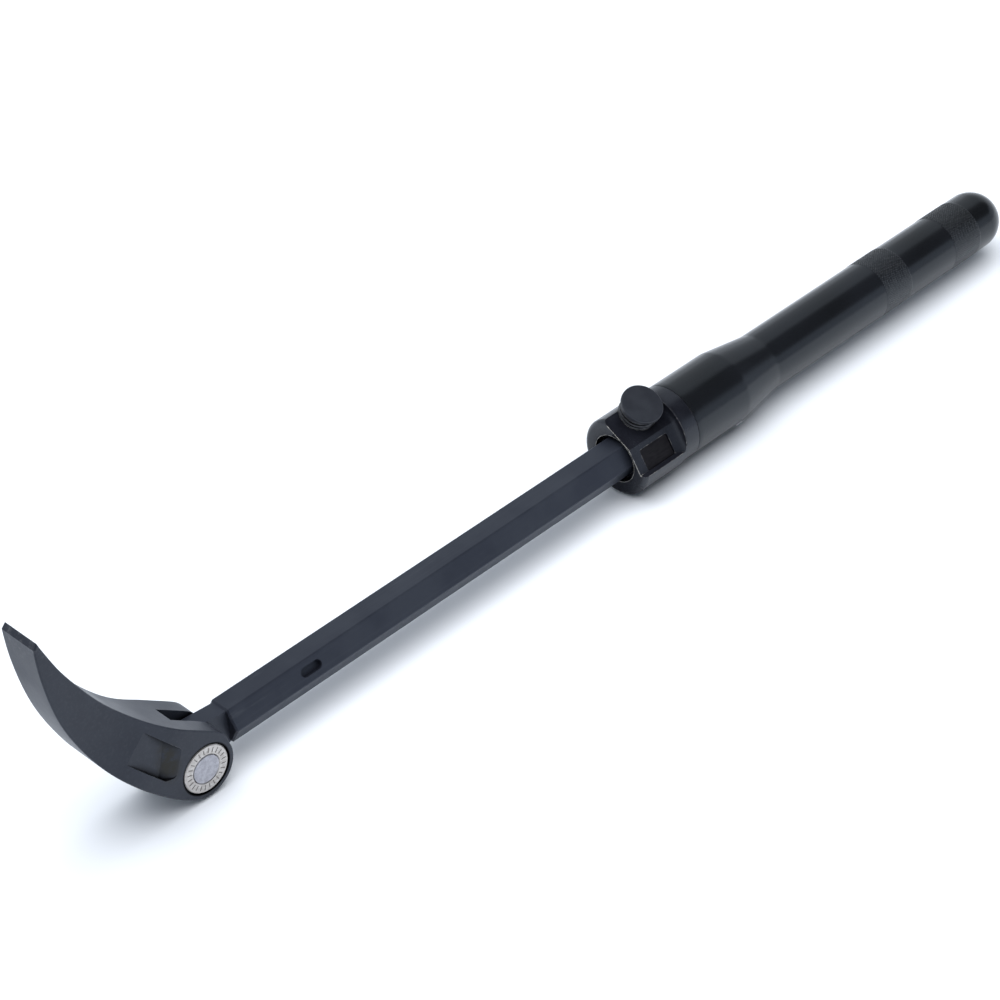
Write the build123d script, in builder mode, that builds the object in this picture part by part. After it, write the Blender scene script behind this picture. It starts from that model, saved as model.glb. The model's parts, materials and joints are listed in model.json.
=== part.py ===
from build123d import *
import math
import os

# Extendable indexing pry bar: a hooked claw head that indexes on a toothed
# hinge, a hexagonal bar that slides in a steel handle, and a push-button lock.
# Millimetres. +X runs from the claw end to the handle end, +Z is up (the side
# the claw curls to), -Y is the side that carries the index button.
# The origin is under the middle of the object, on the surface it lies on.

os.makedirs("parts", exist_ok=True)

# ---------------------------------------------------------------- driving sizes
DATUM_X = -215.0       # x of station 0; every station below is measured from it
BAR_Z = 17.5           # height of the bar's axis = largest radius of the collar

# hinge of the head
PIVOT_S = 2.0          # station of the pivot
PIVOT_H = -3.2         # pivot's height relative to the bar's axis
HUB_R = 13.0
HEAD_HALF = 13.0       # half width over the two ears
TIP_HALF = 9.4         # half width at the pry tip
WAIST_HALF = 8.4       # half width at the claw's waist
SLOT_HALF = 4.4        # half width of the clevis slot
TONGUE_HALF = 3.8
TONGUE_R = 12.4
TEETH = 24             # 15 degrees a step
GEAR_TIP_R = 7.5
GEAR_ROOT_R = 6.7
RING_R = 10.2          # bright ring round the index button
RING_BORE_R = 6.1
RING_THICK = 2.6
BUTTON_R = 6.0
STUD_R = 3.5
GEAR_NEAR = 10.35      # gear runs from y = -10.35 ...
GEAR_FAR = 3.5         # ... to y = +3.5
FAR_FLOOR = 10.4       # floor of the blind bore in the far ear
INDEX_TRAVEL = 6.0

# sliding bar
HEX_AF = 16.0
SHOULDER_S = 20.6
BAR_END_S = 275.5
SLOT_S = 60.2          # station of the outer detent slot
TRAVEL = 186.0
SLOT_LEN = 10.1
SLOT_W = 4.0
SLOT_DEEP = 2.6

# lock collar
COLLAR_FRONT = 234.4
COLLAR_STEP = 260.0
COLLAR_MOUTH = 268.4   # tube starts here
COLLAR_REAR = 306.0    # end of the spigot inside the tube
COLLAR_R = 17.5
BAND_R = 16.85
SPIGOT_R = 13.88
FRONT_BORE_R = 10.9
HEX_BORE_AF = 16.2
CHAMBER_R = 11.2
CHAMBER_S = 274.0
FLAT1_D = 11.3         # button flat, distance from the bar's axis
FLAT2_D = 11.5         # leaf flat
LIP_H = -2.1           # lower end of the leaf flat, relative to the bar's axis
FLAT_END = 253.8       # station where the flats start to run out
RUNOUT_R = 6.0

# lock button and its cross pin
LOCK_S = 250.2
LOCK_V = 8.2           # pin axis beside the bar's axis
PIN_R = 4.0
LOCK_TRAVEL = 3.5
CAP_R = 9.2
CAP_LOW = 16.8
CAP_TOP = 18.8
SEAT_R = 8.4           # spring seat in the collar

# handle tube
TUBE_R = 16.8
GRIP_R = 13.4
NECK_A = 300.0
NECK_B = 323.4
DOME_S = 471.5
TUBE_BORE_R = 11.2
TUBE_BORE_END = 475.5
KNURLS = ((395.8, 413.3), (444.3, 462.6))
KNURL_R = 13.55

# ---------------------------------------------------------------- directions
LOCK_DIR = Vector(0, -0.5, math.sqrt(3) / 2)        # outward along the button
LOCK_SIDE = Vector(0, math.sqrt(3) / 2, 0.5)        # across, towards the pin
FACE_DIR = Vector(0, -math.sqrt(3) / 2, 0.5)        # normal of the slotted face
CLAW_DIR = Vector(-0.511, 0, 0.8596).normalized()   # pivot to pry tip
CLAW_SIDE = Vector(CLAW_DIR.Z, 0, -CLAW_DIR.X)      # across the claw
AXIS_PT = Vector(DATUM_X, 0, BAR_Z)
PIVOT = Vector(DATUM_X + PIVOT_S, 0, BAR_Z + PIVOT_H)
BAR_AXIS = Axis((DATUM_X, 0, BAR_Z), (1, 0, 0))
PIVOT_AXIS = Axis((PIVOT.X, 0, PIVOT.Z), (0, 1, 0))


def bar_plane(station):
    # cross-section of the bar: local x is +Y, local y is +Z
    return Plane(origin=(DATUM_X + station, 0, BAR_Z), x_dir=(0, 1, 0), z_dir=(1, 0, 0))


def side_plane(y=0.0):
    # side view: local x is the station, local y the height over the bar's axis
    return Plane(origin=(DATUM_X, y, BAR_Z), x_dir=(1, 0, 0), z_dir=(0, -1, 0))


def pivot_plane(y):
    # side view centred on the pivot, extrudes towards -Y
    return Plane(origin=(PIVOT.X, y, PIVOT.Z), x_dir=(1, 0, 0), z_dir=(0, -1, 0))


def lock_plane(u, station=LOCK_S, v=LOCK_V):
    # square to the button's travel: local x is the station, local y is LOCK_SIDE
    return Plane(
        origin=AXIS_PT + Vector(station, 0, 0) + LOCK_DIR * u + LOCK_SIDE * v,
        x_dir=(1, 0, 0),
        z_dir=LOCK_DIR,
    )


def face_plane(d, station):
    # parallel to the slotted face of the bar, d from its axis
    return Plane(
        origin=AXIS_PT + Vector(station, 0, 0) + FACE_DIR * d,
        x_dir=(1, 0, 0),
        z_dir=FACE_DIR,
    )


def tooth_points(r_in, r_out, tip, root):
    # closed outline of a straight-sided spline, centred on the pivot
    pts = []
    step = 360 / TEETH
    for k in range(TEETH):
        for a, r in ((-tip, r_out), (tip, r_out), (root, r_in), (step - root, r_in)):
            t = math.radians(k * step + a)
            pts.append((r * math.cos(t), r * math.sin(t)))
    return pts


def on_hub(angle, r=HUB_R):
    t = math.radians(angle)
    return (PIVOT_S + r * math.cos(t), PIVOT_H + r * math.sin(t))


# ================================================================ claw head
CONCAVE_END = on_hub(20)
BACK_START = on_hub(238)

# forged recess behind the hub, the same on both cheeks: its floor slopes down
# towards the hub, and a steeper slope brings it back up to the ear
RECESS_DEEP = 2.4


def on_cheek(along, across, deep=0.0):
    # point of the near cheek, measured from the pivot along and across the claw
    return PIVOT + CLAW_DIR * along + CLAW_SIDE * across + Vector(0, deep - HEAD_HALF, 0)


def cheek_plane(p, q, r):
    # plane through three points of the near cheek, facing outwards
    n = (q - p).cross(r - p)
    return Plane(origin=p, z_dir=n if n.Y < 0 else n * -1)


recess_low = on_cheek(21.7, -7.0, RECESS_DEEP)
with BuildPart() as recess_cut:
    with BuildSketch(Plane(origin=on_cheek(0, 0, 4), x_dir=CLAW_DIR, z_dir=(0, -1, 0))) as recess_outline:
        Polygon((39.5, 2.7), (18.5, -0.6), (11.5, 8.9), (14.9, 12.3), (37.2, 15.6), align=None)
        fillet(recess_outline.vertices(), 1.8)
    extrude(amount=8)
    split(bisect_by=cheek_plane(on_cheek(39.5, -2.7, 2.45), on_cheek(37.2, -15.6, 2.0), recess_low), keep=Keep.TOP)
    split(bisect_by=cheek_plane(on_cheek(18.5, 0.6), on_cheek(11.5, -8.9), recess_low), keep=Keep.TOP)

# the tongue and its arm need a wedge of free space through the whole swing
with BuildPart() as swing_cut:
    with BuildSketch(side_plane()):
        with Locations((PIVOT_S, PIVOT_H)):
            Circle(HUB_R + 0.3)
        Polygon(
            (PIVOT_S - 9.48, PIVOT_H + 9.48),
            (PIVOT_S - 6.0, PIVOT_H + 22.8),
            (PIVOT_S - 4.9, PIVOT_H + 30),
            (PIVOT_S + 40, PIVOT_H + 30),
            (PIVOT_S + 40, PIVOT_H - 30),
            (PIVOT_S - 22.2, PIVOT_H - 30),
            (PIVOT_S - 22.2, PIVOT_H - 20.2),
            align=None,
        )
    extrude(amount=SLOT_HALF, both=True)

with BuildPart() as claw_head:
    # side profile of the hub and the hooked claw
    with BuildSketch(side_plane()):
        with BuildLine():
            hub_arc = ThreePointArc(CONCAVE_END, on_hub(-37), BACK_START)
            back_curve = Spline(
                BACK_START,
                (-16.7, -4.5),
                (-27.2, 7.2),
                (-36.6, 20.0),
                (-44.4, 35.2),
                (-49.4, 48.2),
                (-53.1, 64.4),
                (-54.5, 76.0),
                (-54.9, 89.0),
                tangents=[(-0.848, 0.53), (0.0, 1.0)],
            )
            tip_end = Line(back_curve @ 1, (-53.0, 90.9))
            tip_bevel = Line(tip_end @ 1, (-51.8, 87.6))
            Spline(
                tip_bevel @ 1,
                (-46.5, 74.5),
                (-40.0, 62.1),
                (-33.4, 51.1),
                (-26.5, 41.8),
                (-19.6, 33.9),
                (-13.1, 27.6),
                (-5.8, 21.6),
                (2.1, 15.7),
                (8.4, 11.0),
                (11.7, 7.9),
                (13.5, 4.4),
                CONCAVE_END,
                tangents=[(0.36, -0.93), (0.342, -0.94)],
            )
        make_face()
    extrude(amount=HEAD_HALF, both=True)
    # the cheeks are parallel at the ears, draw in to a slim waist and widen again
    # towards the tip
    with BuildSketch(Plane(origin=PIVOT, x_dir=CLAW_DIR, z_dir=CLAW_SIDE * -1)):
        with BuildLine():
            near_ear = Line((-30, -HEAD_HALF), (22, -HEAD_HALF))
            near_cheek = Spline(
                near_ear @ 1,
                (30, -12.1),
                (38, -10.6),
                (46, -9.25),
                (56, -8.5),
                (70, -WAIST_HALF),
                (86, -8.8),
                (110, -TIP_HALF),
                (130, -9.8),
                tangents=[(1, 0), (1, -0.02)],
            )
            far_end = Line(near_cheek @ 1, (130, 9.8))
            far_cheek = Spline(
                far_end @ 1,
                (110, TIP_HALF),
                (86, 8.8),
                (70, WAIST_HALF),
                (56, 8.5),
                (46, 9.25),
                (38, 10.6),
                (30, 12.1),
                (22, HEAD_HALF),
                tangents=[(-1, -0.02), (-1, 0)],
            )
            Polyline(far_cheek @ 1, (-30, HEAD_HALF), (-30, -HEAD_HALF))
        make_face()
    extrude(amount=90, both=True, mode=Mode.INTERSECT)
    # forged long edges are softened, all the way round each cheek
    fillet(
        claw_head.edges().filter_by(
            lambda e: abs(e.center().Y) > 7.5
            and not (e.geom_type == GeomType.LINE and e.length > 20)
        ),
        0.6,
    )
    # forged recess on both cheeks
    add(recess_cut.part, mode=Mode.SUBTRACT)
    add(recess_cut.part.mirror(Plane.XZ), mode=Mode.SUBTRACT)
    # clevis slot
    add(swing_cut.part, mode=Mode.SUBTRACT)
    # seat of the bright ring, with a dark relief groove round it
    with BuildSketch(pivot_plane(-HEAD_HALF)):
        Circle(RING_R + 0.05)
    extrude(amount=-RING_THICK, mode=Mode.SUBTRACT)
    with BuildSketch(pivot_plane(-HEAD_HALF)):
        Circle(RING_R + 0.75)
    extrude(amount=-0.9, mode=Mode.SUBTRACT)
    # splined bore of the near ear
    with BuildSketch(pivot_plane(-HEAD_HALF + RING_THICK)):
        Polygon(*tooth_points(GEAR_TIP_R + 0.12, 8.3, 4.7, 7.0), align=None)
    extrude(amount=-(HEAD_HALF - RING_THICK - SLOT_HALF), mode=Mode.SUBTRACT)
    # smooth blind bore of the far ear, where the gear goes when pressed
    with BuildSketch(pivot_plane(FAR_FLOOR)):
        Circle(GEAR_TIP_R + 0.2)
    extrude(amount=FAR_FLOOR - SLOT_HALF + 0.01, mode=Mode.SUBTRACT)
    # seat of the pivot stud through the far ear's wall
    with BuildSketch(pivot_plane(HEAD_HALF)):
        Circle(STUD_R)
    extrude(amount=HEAD_HALF - FAR_FLOOR + 0.5, mode=Mode.SUBTRACT)
    with BuildSketch(pivot_plane(HEAD_HALF)):
        Circle(STUD_R + 1.5)
    extrude(amount=1.2, mode=Mode.SUBTRACT)
claw_head.part.label = "claw_head"

# ---------------------------------------------------------------- pivot ring
# engraved with plain ticks, one for each step
with BuildPart() as pivot_ring:
    with BuildSketch(pivot_plane(-HEAD_HALF + RING_THICK)):
        Circle(RING_R)
        Circle(RING_BORE_R, mode=Mode.SUBTRACT)
    extrude(amount=RING_THICK)
    chamfer(pivot_ring.faces().filter_by(Axis.Y).sort_by(Axis.Y)[0].edges(), 0.35)
    with BuildSketch(pivot_plane(-HEAD_HALF + 0.18)):
        with PolarLocations(8.05, TEETH):
            Rectangle(2.1, 0.42)
    extrude(amount=1, mode=Mode.SUBTRACT)
pivot_ring.part.label = "pivot_ring"

# ---------------------------------------------------------------- pivot stud
with BuildPart() as pivot_stud:
    with BuildSketch(pivot_plane(HEAD_HALF - 1.2)):
        Circle(STUD_R)
    extrude(amount=HEAD_HALF - 1.2 + 5.4)
    with BuildSketch(pivot_plane(HEAD_HALF)):
        Circle(STUD_R + 1.5)
    extrude(amount=1.2)
    chamfer(pivot_stud.faces().filter_by(Axis.Y).sort_by(Axis.Y)[0].edges(), 0.6)
pivot_stud.part.label = "pivot_stud"

# ---------------------------------------------------------------- lock gear
# toothed plunger that ties the near ear to the tongue until it is pushed in
with BuildPart() as lock_gear:
    with BuildSketch(pivot_plane(GEAR_FAR)):
        Polygon(*tooth_points(GEAR_ROOT_R, GEAR_TIP_R, 2.0, 5.0), align=None)
        Circle(STUD_R + 0.06, mode=Mode.SUBTRACT)
    extrude(amount=GEAR_NEAR + GEAR_FAR)
    # spring pocket at the far end
    with BuildSketch(pivot_plane(GEAR_FAR)):
        Circle(5.1)
    extrude(amount=6.0, mode=Mode.SUBTRACT)
    # button socket at the near end
    with BuildSketch(pivot_plane(-GEAR_NEAR)):
        Circle(5.2)
    extrude(amount=-2.05, mode=Mode.SUBTRACT)
lock_gear.part.label = "lock_gear"

# ---------------------------------------------------------------- index button
with BuildPart() as index_button:
    with BuildSketch(pivot_plane(-GEAR_NEAR)):
        Circle(BUTTON_R)
    extrude(amount=HEAD_HALF + 0.1 - GEAR_NEAR)
    fillet(index_button.faces().filter_by(Axis.Y).sort_by(Axis.Y)[0].edges(), 0.4)
    with BuildSketch(pivot_plane(-GEAR_NEAR + 2.0)):
        Circle(5.2)
    extrude(amount=2.0)
    with BuildSketch(pivot_plane(-GEAR_NEAR + 2.0)):
        Circle(3.8)
    extrude(amount=3.25, mode=Mode.SUBTRACT)
index_button.part.label = "index_button"

# ---------------------------------------------------------------- index spring
INDEX_WIRE = 0.4
with BuildPart() as index_spring:
    with BuildLine() as index_coil:
        Helix(
            pitch=2.1,
            height=12.0,
            radius=4.4,
            center=(PIVOT.X, FAR_FLOOR - INDEX_WIRE - 0.05, PIVOT.Z),
            direction=(0, -1, 0),
        )
    with BuildSketch(Plane(origin=index_coil.line @ 0, z_dir=index_coil.line % 0)):
        Circle(INDEX_WIRE)
    sweep(is_frenet=True)
index_spring.part.label = "index_spring"

# ---------------------------------------------------------------- thrust washers
with BuildPart() as thrust_washers:
    for y in (TONGUE_HALF + 0.5, -TONGUE_HALF):
        with BuildSketch(pivot_plane(y)):
            Circle(11.8)
            Circle(7.9, mode=Mode.SUBTRACT)
        extrude(amount=0.5)
thrust_washers.part.label = "thrust_washers"

# ================================================================ hexagonal bar
with BuildPart() as notch_cut:
    # cross notch for the lock pin
    with BuildSketch(lock_plane(-14)):
        Circle(PIN_R + 0.2)
    extrude(amount=28)

with BuildPart() as shank_bar:
    with BuildSketch(bar_plane(SHOULDER_S)) as hex_section:
        RegularPolygon(radius=HEX_AF / 2, side_count=6, major_radius=False)
        fillet(hex_section.vertices(), 0.8)
    extrude(amount=BAR_END_S - SHOULDER_S)
    chamfer(shank_bar.faces().sort_by(Axis.X)[0].edges(), 0.7)
    # tongue with its round eye and the arm that runs into the bar
    with BuildSketch(side_plane()):
        with Locations((PIVOT_S, PIVOT_H)):
            Circle(TONGUE_R)
        Polygon(
            (PIVOT_S, PIVOT_H + TONGUE_R),
            (SHOULDER_S + 0.2, 7.3),
            (SHOULDER_S + 4, 7.3),
            (SHOULDER_S + 4, -7.5),
            (SHOULDER_S + 0.2, -7.5),
            (PIVOT_S + 4, PIVOT_H - TONGUE_R + 0.67),
            (PIVOT_S, PIVOT_H),
            align=None,
        )
    extrude(amount=TONGUE_HALF, both=True)
    # toothed eye
    with BuildSketch(pivot_plane(TONGUE_HALF)):
        Polygon(*tooth_points(GEAR_ROOT_R + 0.08, GEAR_TIP_R + 0.08, 2.35, 4.75), align=None)
    extrude(amount=2 * TONGUE_HALF, mode=Mode.SUBTRACT)
    # two detent slots in the face under the leaf
    for s in (SLOT_S, SLOT_S + TRAVEL):
        with BuildSketch(face_plane(HEX_AF / 2, s)):
            SlotOverall(SLOT_LEN, SLOT_W)
        extrude(amount=-SLOT_DEEP, mode=Mode.SUBTRACT)
    add(notch_cut.part, mode=Mode.SUBTRACT)
    # spigot and tapped hole for the stop ring
    with BuildSketch(bar_plane(BAR_END_S)):
        Circle(5.0)
    extrude(amount=4.8)
    with BuildSketch(bar_plane(BAR_END_S + 4.8)):
        Circle(2.5)
    extrude(amount=-16, mode=Mode.SUBTRACT)
shank_bar.part.label = "shank_bar"

# ---------------------------------------------------------------- stop ring
with BuildPart() as stop_ring:
    with BuildSketch(bar_plane(BAR_END_S + 0.02)):
        Circle(CHAMBER_R - 0.25)
        Circle(5.04, mode=Mode.SUBTRACT)
    extrude(amount=5.0)
    chamfer(stop_ring.edges().group_by(SortBy.LENGTH)[-1], 0.5)
stop_ring.part.label = "stop_ring"

with BuildPart() as stop_screw:
    with BuildSketch(bar_plane(BAR_END_S + 5.03)):
        Circle(7.0)
    extrude(amount=2.3)
    fillet(stop_screw.faces().sort_by(Axis.X)[-1].edges(), 0.9)
    with BuildSketch(bar_plane(BAR_END_S + 7.33)):
        RegularPolygon(radius=2.0, side_count=6, major_radius=False)
    extrude(amount=-1.5, mode=Mode.SUBTRACT)
    with BuildSketch(bar_plane(BAR_END_S + 5.03)):
        Circle(2.46)
    extrude(amount=-15)
stop_screw.part.label = "stop_screw"

# ================================================================ lock collar
with BuildPart() as button_flat_cut:
    # flat under the button, milled through the front and run out at the rear
    with BuildSketch(Plane(origin=AXIS_PT, x_dir=(1, 0, 0), z_dir=LOCK_SIDE * -1)):
        with BuildLine():
            Polyline(
                (FLAT_END, FLAT1_D),
                (COLLAR_FRONT - 5, FLAT1_D),
                (COLLAR_FRONT - 5, 26),
                (FLAT_END + RUNOUT_R, 26),
                (FLAT_END + RUNOUT_R, FLAT1_D + RUNOUT_R),
            )
            CenterArc((FLAT_END, FLAT1_D + RUNOUT_R), RUNOUT_R, -90, 90)
        make_face()
    extrude(amount=25, both=True)

with BuildPart() as leaf_flat_cut:
    # second flat, parallel to the slotted face of the bar; it stops at a lip
    # a little below the bar's axis
    with BuildSketch(Plane(origin=AXIS_PT, x_dir=(1, 0, 0), z_dir=FACE_DIR.cross(Vector(1, 0, 0)) * -1)):
        with BuildLine():
            Polyline(
                (FLAT_END, FLAT2_D),
                (COLLAR_FRONT - 5, FLAT2_D),
                (COLLAR_FRONT - 5, 26),
                (FLAT_END + RUNOUT_R, 26),
                (FLAT_END + RUNOUT_R, FLAT2_D + RUNOUT_R),
            )
            CenterArc((FLAT_END, FLAT2_D + RUNOUT_R), RUNOUT_R, -90, 90)
        make_face()
    extrude(amount=25, both=True)
    with BuildSketch(Plane.XY.offset(BAR_Z + LIP_H)):
        Rectangle(900, 120)
    extrude(amount=80, mode=Mode.INTERSECT)

LEAF_S = 247.3         # middle of the recess that holds the detent leaf
LEAF_T = -4.5
LEAF_L = 16.2
LEAF_W = 9.6
LEAF_FLOOR = 10.1


def radial_plane(station, angle, r):
    # angle is measured from +Z towards -Y
    t = math.radians(angle)
    n = Vector(0, -math.sin(t), math.cos(t))
    return Plane(origin=AXIS_PT + Vector(station, 0, 0) + n * r, x_dir=(1, 0, 0), z_dir=n)


DOWELS = (130, 250)
DOWEL_S = 297.0

with BuildPart() as lock_collar:
    with BuildSketch(side_plane()):
        with BuildLine():
            Polyline((CHAMBER_S, 0), (COLLAR_FRONT, 0), (COLLAR_FRONT, COLLAR_R - 2.2))
            CenterArc((COLLAR_FRONT + 2.2, COLLAR_R - 2.2), 2.2, 180, -90)
            Polyline(
                (COLLAR_FRONT + 2.2, COLLAR_R),
                (COLLAR_STEP - 0.5, COLLAR_R),
                (COLLAR_STEP + 0.4, BAND_R),
                (COLLAR_MOUTH - 0.35, BAND_R),
                (COLLAR_MOUTH, BAND_R - 0.35),
                (COLLAR_MOUTH, SPIGOT_R),
                (COLLAR_REAR - 0.8, SPIGOT_R),
                (COLLAR_REAR, SPIGOT_R - 0.8),
                (COLLAR_REAR, CHAMBER_R),
                (CHAMBER_S, CHAMBER_R),
                (CHAMBER_S, 0),
            )
        make_face()
    revolve(axis=BAR_AXIS)
    # hexagonal guide bore and the round relief at its mouth
    with BuildSketch(bar_plane(COLLAR_FRONT - 1)):
        RegularPolygon(radius=HEX_BORE_AF / 2, side_count=6, major_radius=False)
    extrude(amount=CHAMBER_S - COLLAR_FRONT + 2, mode=Mode.SUBTRACT)
    with BuildSketch(bar_plane(COLLAR_FRONT)):
        Circle(FRONT_BORE_R)
    extrude(amount=4.4, mode=Mode.SUBTRACT)
    # the two milled flats
    add(button_flat_cut.part, mode=Mode.SUBTRACT)
    add(leaf_flat_cut.part, mode=Mode.SUBTRACT)
    # recess and window of the detent leaf
    with BuildSketch(face_plane(FLAT2_D + 1.0, LEAF_S)):
        with Locations((0, LEAF_T)):
            RectangleRounded(LEAF_L, LEAF_W, 1.0)
    extrude(amount=-(FLAT2_D + 1.0 - LEAF_FLOOR), mode=Mode.SUBTRACT)
    with BuildSketch(face_plane(LEAF_FLOOR + 0.5, SLOT_S + TRAVEL)):
        SlotOverall(9.9, 3.9)
    extrude(amount=-4, mode=Mode.SUBTRACT)
    # cross bore for the lock pin, its clip pocket and the spring seat
    with BuildSketch(lock_plane(-20)):
        Circle(PIN_R + 0.06)
    extrude(amount=40, mode=Mode.SUBTRACT)
    with BuildSketch(lock_plane(-9.6)):
        Circle(5.7)
    extrude(amount=-12, mode=Mode.SUBTRACT)
    with BuildSketch(lock_plane(FLAT1_D - 0.8)):
        Circle(SEAT_R)
    extrude(amount=8, mode=Mode.SUBTRACT)
    # room for the cap at the run-out of the flat when it is pressed
    with BuildSketch(lock_plane(CAP_LOW - LOCK_TRAVEL - 0.3)):
        Circle(CAP_R + 0.3)
    extrude(amount=8, mode=Mode.SUBTRACT)
    for a in DOWELS:
        with BuildSketch(radial_plane(DOWEL_S, a, CHAMBER_R - 1)):
            Circle(2.0)
        extrude(amount=8, mode=Mode.SUBTRACT)
lock_collar.part.label = "lock_collar"

# ---------------------------------------------------------------- detent leaf
with BuildPart() as detent_leaf:
    with BuildSketch(face_plane(LEAF_FLOOR + 0.02, LEAF_S)):
        with Locations((0, LEAF_T)):
            RectangleRounded(LEAF_L - 0.4, LEAF_W - 0.4, 0.8)
    extrude(amount=0.9)
    # nose that drops into a slot of the bar, drawn lifted clear of it
    with BuildSketch(face_plane(LEAF_FLOOR + 0.3, SLOT_S + TRAVEL)):
        SlotOverall(9.4, 3.4)
    extrude(amount=-(LEAF_FLOOR + 0.3 - HEX_AF / 2 - 0.13))
detent_leaf.part.label = "detent_leaf"

# ---------------------------------------------------------------- collar dowels
with BuildPart() as collar_dowels:
    for a in DOWELS:
        with BuildSketch(radial_plane(DOWEL_S, a, CHAMBER_R + 0.5)):
            Circle(1.98)
        extrude(amount=TUBE_R + 0.45 - CHAMBER_R - 0.5)
    chamfer(
        collar_dowels.edges().filter_by(GeomType.CIRCLE).filter_by(
            lambda e: math.hypot(e.center().Y, e.center().Z - BAR_Z) > TUBE_R
        ),
        0.4,
    )
collar_dowels.part.label = "collar_dowels"

# ================================================================ lock button
CAP_SINK = 0.7         # depth of the spring's seat under the cap
with BuildPart() as lock_button:
    with BuildSketch(lock_plane(CAP_LOW)):
        Circle(CAP_R)
    extrude(amount=CAP_TOP - CAP_LOW)
    fillet(lock_button.edges().filter_by(lambda e: (e.center() - AXIS_PT).dot(LOCK_DIR) > CAP_TOP - 0.01), 0.7)
    chamfer(lock_button.edges().filter_by(lambda e: (e.center() - AXIS_PT).dot(LOCK_DIR) < CAP_LOW + 0.01), 0.4)
    with BuildSketch(lock_plane(CAP_LOW)):
        Circle(8.4)
    extrude(amount=CAP_SINK, mode=Mode.SUBTRACT)
    with BuildSketch(lock_plane(CAP_LOW + CAP_SINK)):
        Circle(3.0)
    extrude(amount=0.7, mode=Mode.SUBTRACT)
lock_button.part.label = "lock_button"

with BuildPart() as lock_pin:
    with BuildSketch(lock_plane(-11.8)):
        Circle(PIN_R)
    extrude(amount=11.8 + CAP_LOW + CAP_SINK)
    with BuildSketch(lock_plane(CAP_LOW + CAP_SINK)):
        Circle(2.98)
    extrude(amount=0.65)
    # waist that lets the bar pass
    with BuildSketch(lock_plane(-7.6)):
        with Locations((0, HEX_AF / 2 + 0.2 - LOCK_V - 3)):
            Rectangle(12, 6)
    extrude(amount=18.7, mode=Mode.SUBTRACT)
    # clip groove
    with BuildSketch(lock_plane(-10.5)):
        Circle(6)
        Circle(3.2, mode=Mode.SUBTRACT)
    extrude(amount=0.9, mode=Mode.SUBTRACT)
lock_pin.part.label = "lock_pin"

with BuildPart() as lock_pin_clip:
    with BuildSketch(lock_plane(-10.45)):
        Circle(5.2)
        Circle(3.25, mode=Mode.SUBTRACT)
        with Locations((3.5, 0)):
            Rectangle(7, 3.6, mode=Mode.SUBTRACT)
    extrude(amount=0.8)
lock_pin_clip.part.label = "lock_pin_clip"

SPRING_WIRE = 0.6
SPRING_LOW = FLAT1_D - 0.8 + SPRING_WIRE + 0.05
SPRING_HIGH = CAP_LOW + CAP_SINK - SPRING_WIRE - 0.05
with BuildPart() as lock_spring:
    with BuildLine() as lock_coil:
        Helix(
            pitch=2.1,
            height=SPRING_HIGH - SPRING_LOW,
            radius=7.6,
            center=lock_plane(SPRING_LOW).origin,
            direction=LOCK_DIR,
        )
    with BuildSketch(Plane(origin=lock_coil.line @ 0, z_dir=lock_coil.line % 0)):
        Circle(SPRING_WIRE)
    sweep(is_frenet=True)
lock_spring.part.label = "lock_spring"

# ================================================================ handle tube
with BuildPart() as handle_tube:
    with BuildSketch(side_plane()) as tube_section:
        with BuildLine():
            Polyline(
                (COLLAR_MOUTH, SPIGOT_R + 0.02),
                (COLLAR_MOUTH, TUBE_R - 0.4),
                (COLLAR_MOUTH + 0.4, TUBE_R),
                (NECK_A, TUBE_R),
                (NECK_B, GRIP_R),
                (KNURLS[0][0], GRIP_R),
                (KNURLS[0][0] + 0.15, KNURL_R),
                (KNURLS[0][1] - 0.15, KNURL_R),
                (KNURLS[0][1], GRIP_R),
                (KNURLS[1][0], GRIP_R),
                (KNURLS[1][0] + 0.15, KNURL_R),
                (KNURLS[1][1] - 0.15, KNURL_R),
                (KNURLS[1][1], GRIP_R),
                (DOME_S, GRIP_R),
            )
            CenterArc((DOME_S, 0), GRIP_R, 90, -90)
            Polyline(
                (DOME_S + GRIP_R, 0),
                (TUBE_BORE_END, 0),
                (TUBE_BORE_END, TUBE_BORE_R - 1),
                (TUBE_BORE_END - 1, TUBE_BORE_R),
                (COLLAR_REAR + 3, TUBE_BORE_R),
                (COLLAR_REAR + 0.2, SPIGOT_R + 0.02),
                (COLLAR_MOUTH, SPIGOT_R + 0.02),
            )
        make_face()
        fillet(
            tube_section.vertices().filter_by(
                lambda v: (abs(v.X - DATUM_X - NECK_A) < 0.1 or abs(v.X - DATUM_X - NECK_B) < 0.1)
            ),
            14,
        )
    revolve(axis=BAR_AXIS)
    for a in DOWELS:
        with BuildSketch(radial_plane(DOWEL_S, a, SPIGOT_R - 1)):
            Circle(2.0)
        extrude(amount=6, mode=Mode.SUBTRACT)
handle_tube.part.label = "handle_tube"

with BuildPart() as spring_washer:
    with BuildSketch(bar_plane(CHAMBER_S + 0.05)):
        Circle(CHAMBER_R - 0.1)
        Circle(9.7, mode=Mode.SUBTRACT)
        # split of the washer
        with Locations((0, 10.5)):
            Rectangle(0.8, 3, mode=Mode.SUBTRACT)
    extrude(amount=1.0)
spring_washer.part.label = "spring_washer"

with BuildPart() as end_bumper:
    with BuildSketch(side_plane()):
        Polygon(
            (469.2, 0),
            (469.2, TUBE_BORE_R - 0.7),
            (469.8, TUBE_BORE_R - 0.08),
            (TUBE_BORE_END - 1.1, TUBE_BORE_R - 0.08),
            (TUBE_BORE_END - 0.1, TUBE_BORE_R - 1.08),
            (TUBE_BORE_END - 0.1, 0),
            align=None,
        )
    revolve(axis=BAR_AXIS)
end_bumper.part.label = "end_bumper"

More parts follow.
